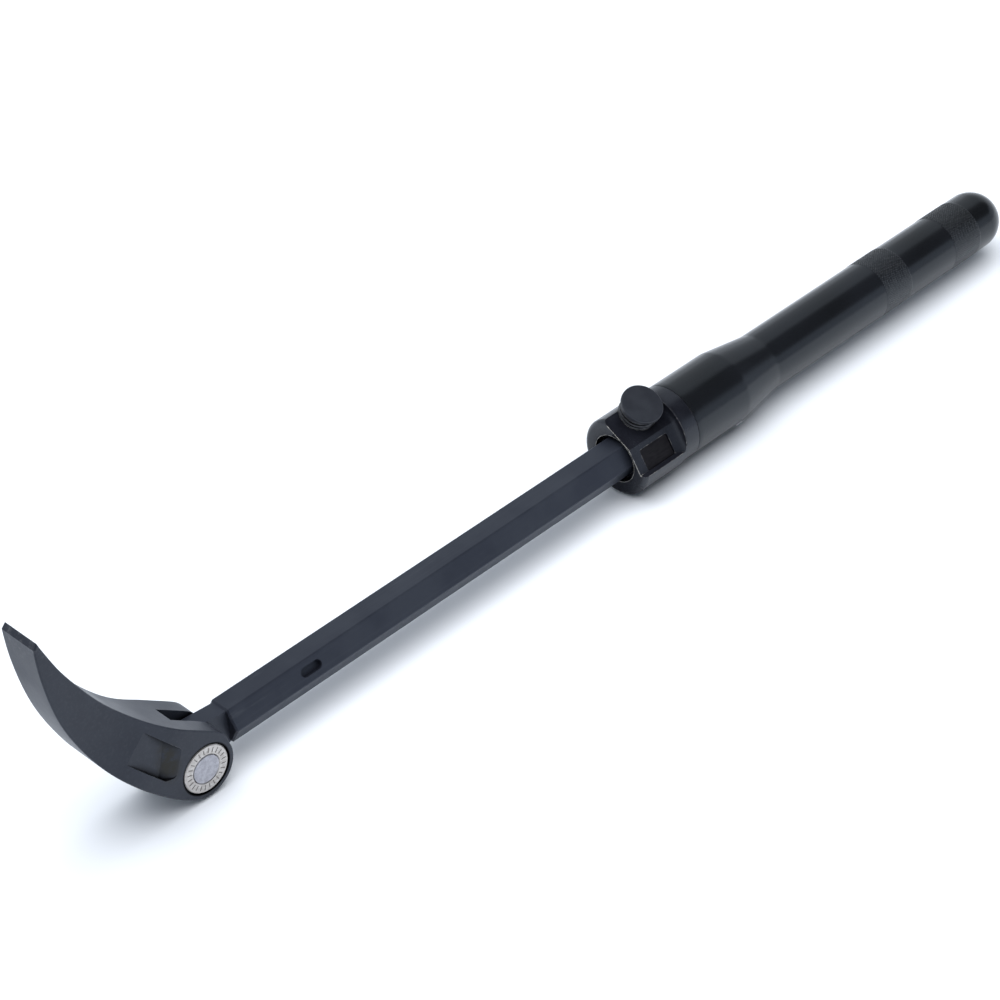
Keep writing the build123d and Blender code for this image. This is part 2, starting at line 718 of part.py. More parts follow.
# ---------------------------------------------------------------- export
export_step(claw_head.part, "parts/claw_head.step")
export_step(pivot_ring.part, "parts/pivot_ring.step")
export_step(pivot_stud.part, "parts/pivot_stud.step")
export_step(lock_gear.part, "parts/lock_gear.step")
export_step(index_button.part, "parts/index_button.step")
export_step(index_spring.part, "parts/index_spring.step")
export_step(thrust_washers.part, "parts/thrust_washers.step")
export_step(shank_bar.part, "parts/shank_bar.step")
export_step(stop_ring.part, "parts/stop_ring.step")
export_step(stop_screw.part, "parts/stop_screw.step")
export_step(lock_collar.part, "parts/lock_collar.step")
export_step(detent_leaf.part, "parts/detent_leaf.step")
export_step(collar_dowels.part, "parts/collar_dowels.step")
export_step(lock_button.part, "parts/lock_button.step")
export_step(lock_pin.part, "parts/lock_pin.step")
export_step(lock_pin_clip.part, "parts/lock_pin_clip.step")
export_step(lock_spring.part, "parts/lock_spring.step")
export_step(handle_tube.part, "parts/handle_tube.step")
export_step(spring_washer.part, "parts/spring_washer.step")
export_step(end_bumper.part, "parts/end_bumper.step")
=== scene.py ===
import json
import math

import bmesh
import bpy
import numpy as np
from mathutils import Matrix, Vector


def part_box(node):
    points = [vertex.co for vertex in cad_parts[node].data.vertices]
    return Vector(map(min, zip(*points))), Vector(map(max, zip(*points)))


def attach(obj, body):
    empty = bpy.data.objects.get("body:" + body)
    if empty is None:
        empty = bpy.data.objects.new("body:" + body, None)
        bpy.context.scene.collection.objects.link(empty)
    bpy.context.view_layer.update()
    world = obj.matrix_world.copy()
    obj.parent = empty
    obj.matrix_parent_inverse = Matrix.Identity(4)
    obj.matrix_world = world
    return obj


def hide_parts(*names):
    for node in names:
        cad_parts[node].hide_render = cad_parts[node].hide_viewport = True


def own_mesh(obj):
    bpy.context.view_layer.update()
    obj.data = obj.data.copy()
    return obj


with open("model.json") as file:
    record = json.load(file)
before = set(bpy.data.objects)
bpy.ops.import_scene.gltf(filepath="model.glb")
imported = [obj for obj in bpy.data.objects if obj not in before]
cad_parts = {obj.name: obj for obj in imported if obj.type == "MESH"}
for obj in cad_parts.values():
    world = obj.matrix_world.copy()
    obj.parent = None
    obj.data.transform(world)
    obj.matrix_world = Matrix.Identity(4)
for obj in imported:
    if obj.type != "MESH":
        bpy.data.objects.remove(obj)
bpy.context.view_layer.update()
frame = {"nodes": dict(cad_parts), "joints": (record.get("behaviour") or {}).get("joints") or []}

N = frame["nodes"]
JOINTS = {j["name"]: j for j in frame["joints"]}
scene = bpy.context.scene
scene.view_settings.view_transform = "Standard"
scene.view_settings.look = "None"

# ------------------------------------------------------------------ places, in metres
# The hinge's axis and the bar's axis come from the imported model, the rest is measured from them.
PIVOT = Vector(JOINTS["claw_index"]["pos_m"])
DATUM = PIVOT.x - 0.002            # x of station 0
BAR_Z = PIVOT.z + 0.0032           # height of the bar's axis


def st(mm):
    """x of a station given in millimetres."""
    return DATUM + mm / 1000


# ------------------------------------------------------------------ camera
cam_data = bpy.data.cameras.new("camera")
cam = bpy.data.objects.new("camera", cam_data)
scene.collection.objects.link(cam)
cam_data.sensor_width = 36
cam_data.lens = 99.76
cam_data.clip_start, cam_data.clip_end = 0.05, 50
cx = Vector((0.70957899, -0.70078837, -0.07343926))
cy = Vector((0.4677429, 0.39051659, 0.79291448))
cz = Vector((-0.52698599, -0.59698614, 0.60489115))
cam.matrix_world = Matrix(
    (
        (cx.x, cy.x, cz.x, -0.41284 + DATUM),
        (cx.y, cy.y, cz.y, -0.65925),
        (cx.z, cy.z, cz.z, 0.68484 + BAR_Z),
        (0, 0, 0, 1),
    )
)
scene.camera = cam


# ------------------------------------------------------------------ node helpers
class Mat:
    """A node tree under construction: every call adds a node and returns its output."""

    def __init__(self, name):
        self.m = bpy.data.materials.new(name)
        self.m.use_nodes = True
        self.t = self.m.node_tree
        self.t.nodes.clear()
        self.out = self.t.nodes.new("ShaderNodeOutputMaterial")
        self.p = self.t.nodes.new("ShaderNodeBsdfPrincipled")
        self.t.links.new(self.p.outputs[0], self.out.inputs["Surface"])
        self.coord = self.t.nodes.new("ShaderNodeTexCoord").outputs["Object"]

    def link(self, a, b):
        if isinstance(a, (int, float)):
            b.default_value = a
        elif isinstance(a, tuple):
            b.default_value = (*a, 1) if len(b.default_value) == 4 and len(a) == 3 else a
        else:
            self.t.links.new(a, b)

    def set(self, **values):
        for k, v in values.items():
            self.link(v, self.p.inputs[k.replace("_", " ")])

    def math(self, op, a, b=0.0, clamp=False):
        n = self.t.nodes.new("ShaderNodeMath")
        n.operation = op
        n.use_clamp = clamp
        self.link(a, n.inputs[0])
        self.link(b, n.inputs[1])
        return n.outputs[0]

    def scale(self, vec, s):
        n = self.t.nodes.new("ShaderNodeMapping")
        self.link(vec, n.inputs["Vector"])
        n.inputs["Scale"].default_value = s if isinstance(s, tuple) else (s, s, s)
        return n.outputs[0]

    def place(self, loc=(0, 0, 0), rot=(0, 0, 0), scale=(1, 1, 1)):
        n = self.t.nodes.new("ShaderNodeMapping")
        self.link(self.coord, n.inputs["Vector"])
        n.inputs["Location"].default_value = loc
        n.inputs["Rotation"].default_value = rot
        n.inputs["Scale"].default_value = scale
        return n.outputs[0]

    def noise(self, scale, detail=3.0, rough=0.55, vec=None, distort=0.0):
        n = self.t.nodes.new("ShaderNodeTexNoise")
        self.link(vec if vec is not None else self.coord, n.inputs["Vector"])
        n.inputs["Scale"].default_value = scale
        n.inputs["Detail"].default_value = detail
        n.inputs["Roughness"].default_value = rough
        n.inputs["Distortion"].default_value = distort
        return n.outputs["Fac"]

    def voronoi(self, scale, vec=None, feature="F1", out="Distance", randomness=1.0):
        n = self.t.nodes.new("ShaderNodeTexVoronoi")
        n.feature = feature
        self.link(vec if vec is not None else self.coord, n.inputs["Vector"])
        n.inputs["Scale"].default_value = scale
        n.inputs["Randomness"].default_value = randomness
        return n.outputs[out]

    def ramp(self, fac, lo, hi, a=0.0, b=1.0, smooth=True):
        n = self.t.nodes.new("ShaderNodeMapRange")
        n.interpolation_type = "SMOOTHSTEP" if smooth else "LINEAR"
        self.link(fac, n.inputs["Value"])
        n.inputs["From Min"].default_value = lo
        n.inputs["From Max"].default_value = hi
        n.inputs["To Min"].default_value = a
        n.inputs["To Max"].default_value = b
        return n.outputs[0]

    def mix(self, fac, a, b):
        n = self.t.nodes.new("ShaderNodeMix")
        n.data_type = "RGBA"
        self.link(fac, n.inputs["Factor"])
        self.link(a, n.inputs[6])
        self.link(b, n.inputs[7])
        return n.outputs[2]

    def axis(self, i, vec=None):
        n = self.t.nodes.new("ShaderNodeSeparateXYZ")
        self.link(vec if vec is not None else self.coord, n.inputs[0])
        return n.outputs[i]

    def length(self, vec):
        n = self.t.nodes.new("ShaderNodeVectorMath")
        n.operation = "LENGTH"
        self.link(vec, n.inputs[0])
        return n.outputs["Value"]

    def bump(self, height, strength, distance, normal=None):
        n = self.t.nodes.new("ShaderNodeBump")
        n.inputs["Strength"].default_value = strength
        n.inputs["Distance"].default_value = distance
        self.link(height, n.inputs["Height"])
        if normal is not None:
            self.link(normal, n.inputs["Normal"])
        return n.outputs[0]

    def rounded(self, radius, samples=4):
        n = self.t.nodes.new("ShaderNodeBevel")
        n.samples = samples
        n.inputs["Radius"].default_value = radius
        return n.outputs[0]

    def edge(self, radius, lo=0.02, hi=0.25, samples=8):
        """1 along convex and concave edges, 0 on open surface: how far the rounded normal leans from the true one."""
        g = self.t.nodes.new("ShaderNodeNewGeometry")
        n = self.t.nodes.new("ShaderNodeVectorMath")
        n.operation = "DOT_PRODUCT"
        self.link(self.rounded(radius, samples), n.inputs[0])
        self.link(g.outputs["True Normal"], n.inputs[1])
        return self.ramp(self.math("SUBTRACT", 1.0, n.outputs["Value"]), lo, hi)

    def hollow(self, distance, samples=6):
        """1 in corners and slots, 0 in the open."""
        n = self.t.nodes.new("ShaderNodeAmbientOcclusion")
        n.samples = samples
        n.inputs["Distance"].default_value = distance
        return self.math("SUBTRACT", 1.0, n.outputs["AO"], clamp=True)


def coat_with(mat, *names):
    for n in names:
        data = N[n].data
        data.materials.clear()
        data.materials.append(mat.m)


# ------------------------------------------------------------------ black oxide, forged: the claw
def forged():
    m = Mat("forged_black_oxide")
    scaled = m.noise(38, 4, 0.6)
    fine = m.noise(900, 3, 0.6)
    grain = m.noise(3800, 2, 0.6)
    pits = m.voronoi(1500)
    colour = m.mix(m.ramp(scaled, 0.3, 0.7), (0.014, 0.016, 0.023), (0.022, 0.025, 0.034))
    colour = m.mix(m.ramp(fine, 0.45, 0.75, 0, 0.35), colour, (0.036, 0.039, 0.049))
    # brown scale left by the forging die in the recess behind the hub, on both cheeks
    near = m.place(loc=(-(PIVOT.x - 0.0150), 0.0, -(PIVOT.z + 0.0130) * 0.55), scale=(1, 0.0, 0.55))
    brown = m.math(
        "MULTIPLY",
        m.ramp(m.length(near), 0.002, 0.0062, 1, 0),
        m.ramp(m.noise(260, 3, 0.6), 0.30, 0.55),
    )
    colour = m.mix(m.math("MULTIPLY", brown, 0.85), colour, (0.020, 0.017, 0.010))
    wear = m.math("MULTIPLY", m.edge(0.0006), m.ramp(m.noise(420, 4, 0.7), 0.48, 0.72))
    # the tip is used, so its edges and its last millimetres are rubbed
    tip = m.place(loc=tuple(-c for c in (PIVOT.x - 0.0569, 0.0, PIVOT.z + 0.0930)), scale=(1, 0.35, 1))
    rub = m.math(
        "MULTIPLY", m.ramp(m.length(tip), 0.001, 0.012, 1, 0), m.ramp(m.noise(300, 4, 0.7), 0.45, 0.75)
    )
    worn = m.math("MAXIMUM", m.math("MULTIPLY", wear, 0.55), m.math("MULTIPLY", rub, 0.30))
    colour = m.mix(worn, colour, (0.20, 0.205, 0.215))
    # painted shade: darker in the groove round the ring and in the corners of the recess, where shade falls
    r = m.length(m.place(loc=(-PIVOT.x, 0.0, -PIVOT.z), scale=(1, 0.0, 1)))
    groove_shade = m.math("MULTIPLY", m.ramp(r, 0.0100, 0.0102), m.ramp(r, 0.0109, 0.0114, 1, 0))
    groove_shade = m.math("MULTIPLY", groove_shade, m.ramp(m.axis(1), -0.002, 0.0, 1, 0))
    # painted shade in the recess's corners, taken from ambient occlusion
    corner_shade = m.math("MULTIPLY", m.hollow(0.0032), 1.9, clamp=True)
    dirt_and_shade = m.math("MAXIMUM", groove_shade, corner_shade)
    colour = m.mix(dirt_and_shade, colour, (0.0025, 0.0025, 0.003))
    rough = m.ramp(scaled, 0.25, 0.75, 0.36, 0.48)
    rough = m.math("ADD", rough, m.math("MULTIPLY", brown, 0.14))
    rough = m.math("SUBTRACT", rough, m.math("MULTIPLY", worn, 0.10))
    normal = m.bump(scaled, 0.22, 0.0006)
    normal = m.bump(fine, 0.24, 0.00008, normal)
    normal = m.bump(m.math("MULTIPLY", grain, pits), 0.30, 0.00004, normal)
    # the reflection is turned down in the same painted shade
    shine = m.math("MULTIPLY", m.math("SUBTRACT", 1.0, m.math("MULTIPLY", dirt_and_shade, 0.85)), 0.365)
    m.set(Base_Color=colour, Roughness=rough, Normal=normal, Specular_IOR_Level=shine)
    m.p.inputs["Metallic"].default_value = 0.15
    m.p.inputs["Specular Tint"].default_value = (0.84, 0.90, 1.0, 1)
    return m


# ------------------------------------------------------------------ black oxide, drawn: the bar
def drawn():
    m = Mat("drawn_black_oxide")
    along = m.scale(m.coord, (6, 900, 900))
    lines = m.noise(1.0, 3, 0.65, along)
    mottle = m.noise(55, 3, 0.55)
    fine = m.noise(2600, 2, 0.6)
    colour = m.mix(m.ramp(mottle, 0.3, 0.7), (0.018, 0.021, 0.031), (0.026, 0.030, 0.041))
    colour = m.mix(m.ramp(lines, 0.5, 0.8, 0, 0.35), colour, (0.040, 0.044, 0.056))
    wear = m.math("MULTIPLY", m.edge(0.0005), m.ramp(m.noise(380, 4, 0.7), 0.52, 0.78))
    # polished tracks where the bar rubs in the collar
    rub = m.math("MULTIPLY", m.ramp(m.noise(1.0, 4, 0.7, m.scale(m.coord, (22, 260, 260))), 0.60, 0.80), 0.28)
    worn = m.math("MAXIMUM", m.math("MULTIPLY", wear, 0.40), rub)
    colour = m.mix(worn, colour, (0.105, 0.110, 0.122))
    rough = m.ramp(mottle, 0.3, 0.7, 0.40, 0.50)
    rough = m.math("SUBTRACT", rough, m.math("MULTIPLY", worn, 0.16))
    normal = m.bump(lines, 0.16, 0.00005)
    normal = m.bump(fine, 0.20, 0.00003, normal)
    m.set(Base_Color=colour, Roughness=rough, Normal=normal)
    m.p.inputs["Metallic"].default_value = 0.25
    m.p.inputs["Specular IOR Level"].default_value = 0.50
    m.p.inputs["Specular Tint"].default_value = (0.84, 0.90, 1.0, 1)
    return m


# ------------------------------------------------------------------ bright steel: ring and button
def ring_steel():
    m = Mat("bright_ring_steel")
    local = m.place(loc=tuple(-c for c in PIVOT))
    r = m.math("SQRT", m.math("ADD", m.math("POWER", m.axis(0, local), 2.0), m.math("POWER", m.axis(2, local), 2.0)))
    turned = m.noise(1.0, 2, 0.6, m.scale(local, (1500, 1500, 1500)))
    rings = m.math("SINE", m.math("MULTIPLY", r, 42000.0))
    blotch = m.noise(900, 4, 0.65)
    pit = m.ramp(m.noise(2300, 3, 0.65), 0.60, 0.72)
    colour = m.mix(m.ramp(blotch, 0.35, 0.7), (0.42, 0.395, 0.375), (0.56, 0.54, 0.52))
    colour = m.mix(m.math("MULTIPLY", pit, 0.55), colour, (0.20, 0.18, 0.17))
    # dirt in the tick marks, which are cut below the face
    depth = m.ramp(m.axis(1), -0.01296, -0.01284)
    face = m.ramp(r, 0.0098, 0.0100, 1, 0)
    dirt_and_shade = m.math("MULTIPLY", m.math("MULTIPLY", depth, face), m.ramp(r, 0.0064, 0.0066))
    colour = m.mix(m.math("MULTIPLY", dirt_and_shade, 0.58), colour, (0.16, 0.145, 0.135))
    rough = m.math("ADD", m.ramp(turned, 0.3, 0.7, 0.30, 0.42), m.math("MULTIPLY", m.math("MAXIMUM", dirt_and_shade, pit), 0.25))
    normal = m.bump(rings, 0.10, 0.00001)
    normal = m.bump(m.math("ADD", blotch, m.math("MULTIPLY", pit, -0.6)), 0.22, 0.00005, normal)
    m.set(Base_Color=colour, Roughness=rough, Normal=normal)
    m.p.inputs["Metallic"].default_value = 0.85
    return m


def button_steel():
    m = Mat("blasted_button_steel")
    blotch = m.noise(520, 4, 0.6)
    speck = m.noise(2400, 3, 0.65)
    colour = m.mix(m.ramp(blotch, 0.35, 0.68), (0.31, 0.31, 0.345), (0.45, 0.45, 0.49))
    colour = m.mix(m.ramp(speck, 0.45, 0.8, 0, 0.5), colour, (0.62, 0.62, 0.66))
    wear = m.edge(0.0005)
    colour = m.mix(m.math("MULTIPLY", wear, 0.35), colour, (0.25, 0.25, 0.27))
    rough = m.ramp(blotch, 0.3, 0.7, 0.42, 0.54)
    normal = m.bump(m.math("ADD", speck, m.math("MULTIPLY", blotch, 0.6)), 0.30, 0.00006)
    m.set(Base_Color=colour, Roughness=rough, Normal=normal)
    m.p.inputs["Metallic"].default_value = 0.8
    return m


# ------------------------------------------------------------------ collar: gloss black with worn bright edges
def collar_paint():
    m = Mat("collar_gloss_black")
    drift = m.noise(70, 4, 0.6)
    speck = m.noise(1700, 3, 0.65)
    peel = m.noise(330, 2, 0.5)
    colour = m.mix(m.ramp(drift, 0.3, 0.7), (0.007, 0.0075, 0.011), (0.012, 0.013, 0.018))
    edge = m.edge(0.0005, 0.015, 0.16)
    wear = m.math("MULTIPLY", edge, m.ramp(m.noise(500, 5, 0.75), 0.46, 0.62))
    # the bar knocks against the front, so its lip is worn bright
    lip = m.math("MULTIPLY", m.edge(0.0007, 0.03, 0.15), m.ramp(m.axis(0), st(235.6), st(236.6), 1, 0))
    lip = m.math("MULTIPLY", lip, m.ramp(m.length(m.place(loc=(0, 0, -BAR_Z), scale=(0, 1, 1))), 0.0150, 0.0158, 1, 0))
    lip = m.math("MULTIPLY", lip, m.ramp(m.noise(650, 4, 0.7), 0.34, 0.56))
    colour = m.mix(m.math("MULTIPLY", edge, 0.30), colour, (0.045, 0.047, 0.055))
    colour = m.mix(m.math("MULTIPLY", wear, 0.70), colour, (0.30, 0.29, 0.27))
    colour = m.mix(m.math("MULTIPLY", lip, 0.85), colour, (0.46, 0.45, 0.42))
    rough = m.ramp(drift, 0.3, 0.7, 0.19, 0.28)
    rough = m.math("ADD", rough, m.math("MULTIPLY", wear, 0.12))
    normal = m.bump(peel, 0.16, 0.00010)
    normal = m.bump(speck, 0.16, 0.00003, normal)
    normal = m.bump(wear, -0.25, 0.00004, normal)
    # painted shade: the paint's reflection is turned down in hollows, such as the flat under the cap
    corner_shade = m.math("MULTIPLY", m.hollow(0.012), 2.5, clamp=True)
    shine = m.math("MULTIPLY", m.math("SUBTRACT", 1.0, m.math("MULTIPLY", corner_shade, 0.9)), 0.46)
    m.set(Base_Color=colour, Roughness=rough, Normal=normal, Specular_IOR_Level=shine)
    m.p.inputs["Metallic"].default_value = 0.05
    m.p.inputs["Specular Tint"].default_value = (0.86, 0.92, 1.0, 1)
    return m


def cap_oxide():
    m = Mat("cap_satin_oxide")
    mottle = m.noise(160, 3, 0.55)
    fine = m.noise(2600, 3, 0.6)
    colour = m.mix(m.ramp(mottle, 0.3, 0.7), (0.017, 0.019, 0.026), (0.024, 0.027, 0.035))
    wear = m.math("MULTIPLY", m.edge(0.0005), m.ramp(m.noise(600, 4, 0.7), 0.5, 0.7))
    colour = m.mix(m.math("MULTIPLY", wear, 0.35), colour, (0.15, 0.155, 0.165))
    rough = m.ramp(mottle, 0.3, 0.7, 0.46, 0.56)
    normal = m.bump(fine, 0.28, 0.00004)
    m.set(Base_Color=colour, Roughness=rough, Normal=normal)
    m.p.inputs["Metallic"].default_value = 0.2
    return m


# ------------------------------------------------------------------ handle: gloss black enamel
def enamel():
    m = Mat("handle_gloss_enamel")
    drift = m.noise(18, 3, 0.55)
    peel = m.noise(260, 2, 0.5)
    dust = m.noise(2400, 3, 0.7)
    streak = m.noise(1.0, 3, 0.6, m.scale(m.coord, (9, 150, 150)))
    colour = m.mix(m.ramp(drift, 0.3, 0.7), (0.005, 0.0055, 0.0065), (0.008, 0.009, 0.0115))
    colour = m.mix(m.ramp(dust, 0.60, 0.78, 0, 0.16), colour, (0.040, 0.043, 0.050))
    # knurls lose their enamel on the crests first: the crests stand above the grip's radius
    local = m.place(loc=(0, 0, -BAR_Z))
    r = m.math("SQRT", m.math("ADD", m.math("POWER", m.axis(1, local), 2.0), m.math("POWER", m.axis(2, local), 2.0)))
    in_a = m.math("MULTIPLY", m.ramp(m.axis(0), st(395.6), st(395.9)), m.ramp(m.axis(0), st(413.2), st(413.5), 1, 0))
    in_b = m.math("MULTIPLY", m.ramp(m.axis(0), st(444.1), st(444.4)), m.ramp(m.axis(0), st(462.5), st(462.8), 1, 0))
    band = m.math("ADD", in_a, in_b, clamp=True)
    crest = m.math("MULTIPLY", band, m.ramp(r, 0.01346, 0.01355))
    crest = m.math("MULTIPLY", crest, m.ramp(m.noise(900, 4, 0.7), 0.36, 0.62))
    colour = m.mix(m.math("MULTIPLY", crest, 0.28), colour, (0.10, 0.105, 0.11))
    mouth = m.math("MULTIPLY", m.edge(0.0005), m.ramp(m.noise(480, 4, 0.7), 0.40, 0.62))
    mouth = m.math("MULTIPLY", mouth, m.ramp(m.axis(0), st(269.6), st(270.6), 1, 0))
    colour = m.mix(m.math("MULTIPLY", mouth, 0.65), colour, (0.24, 0.24, 0.24))
    rough = m.ramp(streak, 0.3, 0.7, 0.17, 0.25)
    rough = m.math("ADD", rough, m.math("MULTIPLY", band, 0.05))
    normal = m.bump(peel, 0.10, 0.00012)
    normal = m.bump(dust, 0.12, 0.00002, normal)
    m.set(Base_Color=colour, Roughness=rough, Normal=normal)
    m.p.inputs["Specular IOR Level"].default_value = 0.37
    m.p.inputs["Specular Tint"].default_value = (0.84, 0.92, 1.0, 1)
    m.p.inputs["Coat Weight"].default_value = 0.08
    m.p.inputs["Coat Roughness"].default_value = 0.16
    return m


# ------------------------------------------------------------------ inner pieces
def machined(name, dark, light, rough_lo, rough_hi, metallic=0.9, stretch=(400, 1400, 1400)):
    m = Mat(name)
    lines = m.noise(1.0, 3, 0.6, m.scale(m.coord, stretch))
    oil = m.noise(160, 3, 0.6)
    colour = m.mix(m.ramp(lines, 0.3, 0.7), dark, light)
    colour = m.mix(m.ramp(oil, 0.5, 0.8, 0, 0.5), colour, tuple(c * 0.5 for c in dark))
    wear = m.math("MULTIPLY", m.edge(0.0003), 0.4)
    colour = m.mix(wear, colour, tuple(min(1.0, c * 1.7) for c in light))
    m.set(
        Base_Color=colour,
        Roughness=m.ramp(oil, 0.3, 0.7, rough_lo, rough_hi),
        Normal=m.bump(lines, 0.18, 0.00003),
    )
    m.p.inputs["Metallic"].default_value = metallic
    return m


def rubber():
    m = Mat("moulded_rubber")
    grain = m.noise(1900, 3, 0.6)
    bloom = m.noise(120, 3, 0.6)
    colour = m.mix(m.ramp(bloom, 0.35, 0.75), (0.014, 0.014, 0.014), (0.030, 0.030, 0.031))
    m.set(Base_Color=colour, Roughness=m.ramp(grain, 0.3, 0.7, 0.62, 0.80), Normal=m.bump(grain, 0.35, 0.00006))
    m.p.inputs["Specular IOR Level"].default_value = 0.4
    return m


CLAW, BAR, RING, BUTTON = forged(), drawn(), ring_steel(), button_steel()
COLLAR, CAP, ENAMEL = collar_paint(), cap_oxide(), enamel()
HARDWARE = machined("hardware_steel", (0.20, 0.20, 0.21), (0.34, 0.34, 0.36), 0.28, 0.40)
SPRING = machined("tempered_spring_steel", (0.045, 0.046, 0.052), (0.085, 0.087, 0.094), 0.30, 0.42, 0.7, (900, 900, 900))
LEAF = machined("blued_leaf_steel", (0.006, 0.0055, 0.007), (0.012, 0.011, 0.013), 0.40, 0.52, 0.2, (300, 1400, 1400))
LEAF.p.inputs["Specular IOR Level"].default_value = 0.16
BRONZE = machined("bearing_bronze", (0.30, 0.19, 0.09), (0.44, 0.30, 0.15), 0.30, 0.44)
RUBBER = rubber()

coat_with(CLAW, "claw_head")
coat_with(RING, "pivot_ring")
coat_with(BUTTON, "index_button")
coat_with(BAR, "shank_bar")
coat_with(COLLAR, "lock_collar")
coat_with(CAP, "lock_button")
coat_with(ENAMEL, "handle_tube")
coat_with(HARDWARE, "pivot_stud", "lock_gear", "stop_ring", "stop_screw", "lock_pin", "collar_dowels")
coat_with(SPRING, "index_spring", "lock_spring", "lock_pin_clip", "spring_washer")
coat_with(LEAF, "detent_leaf")
coat_with(BRONZE, "thrust_washers")
coat_with(RUBBER, "end_bumper")


# ------------------------------------------------------------------ mesh helpers
def add_mesh(name, verts, faces, mat, smooth_angle=None):
    me = bpy.data.meshes.new(name)
    me.from_pydata([tuple(v) for v in verts], [], faces)
    me.validate()
    me.update()
    bm = bmesh.new()
    bm.from_mesh(me)
    bmesh.ops.recalc_face_normals(bm, faces=bm.faces)
    if bm.calc_volume(signed=True) < 0:
        bmesh.ops.reverse_faces(bm, faces=bm.faces)
    for f in bm.faces:
        f.smooth = True
    if smooth_angle is not None:
        for e in bm.edges:
            if len(e.link_faces) == 2 and e.calc_face_angle(0) > smooth_angle:
                e.smooth = False
    bm.to_mesh(me)
    bm.free()
    me.materials.append(mat.m)
    ob = bpy.data.objects.new(name, me)
    scene.collection.objects.link(ob)
    return ob


# ------------------------------------------------------------------ handle tube with real knurling
def tube_profile():
    """Closed half-section of the handle tube as (station mm, radius mm, knurl depth share)."""
    neck_a, neck_b, r0, r1, fil = 300.0, 323.4, 16.8, 13.4, 14.0
    slope = math.atan2(r0 - r1, neck_b - neck_a)
    t = fil * math.tan(slope / 2)
    pts = [(268.4, 13.9), (268.4, 16.40), (268.42, 16.53), (268.50, 16.66), (268.62, 16.75), (268.8, 16.8)]
    pts += [(s, 16.8) for s in np.linspace(271, neck_a - t, 10)]
    c = (neck_a - t, r0 - fil)
    pts += [(c[0] + fil * math.sin(a), c[1] + fil * math.cos(a)) for a in np.linspace(0, slope, 8)[1:]]
    c = (neck_b + t, r1 + fil)
    pts += [(c[0] - fil * math.sin(a), c[1] - fil * math.cos(a)) for a in np.linspace(slope, 0, 8)]
    pts += [(s, r1) for s in np.linspace(330, 394, 14)]
    rows = [(s, r, 0.0) for s, r in pts]
    for a, b, tail in ((395.8, 413.3, 443.0), (444.3, 462.6, 470.0)):
        rows.append((a - 0.25, r1, 0.0))
        n = int(round((b - a) / 0.19))
        for s in np.linspace(a, b, n + 1):
            fade = min(1.0, min(s - a, b - s) / 0.55)
            rows.append((s, r1, fade))
        rows.append((b + 0.25, r1, 0.0))
        rows += [(s, r1, 0.0) for s in np.linspace(b + 2.0, tail, 7)]
    rows += [(471.5 + r1 * math.sin(a), r1 * math.cos(a), 0.0) for a in np.linspace(0, math.pi / 2, 26)[:-1]]
    return rows


def build_tube():
    rows, around = tube_profile(), 432
    pitch, depth = 1.16, 0.00017
    turns = round(2 * math.pi * 13.4 / pitch)
    verts, faces = [], []
    th = np.linspace(0, 2 * math.pi, around, endpoint=False)
    for s, r, k in rows:
        if k > 0:
            a = turns * th / (2 * math.pi)
            u = (s - 395.8) / pitch * 0.92
            f = np.abs(((a + u) % 1.0) * 2 - 1)
            g = np.abs(((a - u) % 1.0) * 2 - 1)
            crest = np.clip(np.minimum(f, g) * 2.1, 0, 1)
            crest = crest * crest * (3 - 2 * crest)
            rr = r / 1000 + k * (0.00015 - depth * (1 - crest))
        else:
            rr = np.full(around, r / 1000)
        verts += [(st(s), q * math.cos(t), BAR_Z + q * math.sin(t)) for q, t in zip(rr, th)]
    rings = len(rows)
    for i in range(rings - 1):
        for j in range(around):
            k = (j + 1) % around
            faces.append((i * around + j, i * around + k, (i + 1) * around + k, (i + 1) * around + j))
    tip = len(verts)
    verts.append((st(471.5 + 13.4), 0, BAR_Z))
    last = (rings - 1) * around
    faces += [(last + j, last + (j + 1) % around, tip) for j in range(around)]
    # bore, joined to the mouth
    inner = [(268.4, 13.9), (306.2, 13.9), (309.0, 11.2), (474.5, 11.2), (475.5, 10.2)]
    prev = 0
    for s, r in inner[1:]:
        base = len(verts)
        verts += [(st(s), r / 1000 * math.cos(t), BAR_Z + r / 1000 * math.sin(t)) for t in th]
        for j in range(around):
            k = (j + 1) % around
            faces.append((prev + j, base + j, base + k, prev + k))
        prev = base
    end = len(verts)
    verts.append((st(475.5), 0, BAR_Z))
    faces += [(prev + j, end, prev + (j + 1) % around) for j in range(around)]
    return add_mesh("handle_tube_knurled", verts, faces, ENAMEL, math.radians(38))


tube = build_tube()
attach(tube, "handle")
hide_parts("handle_tube")


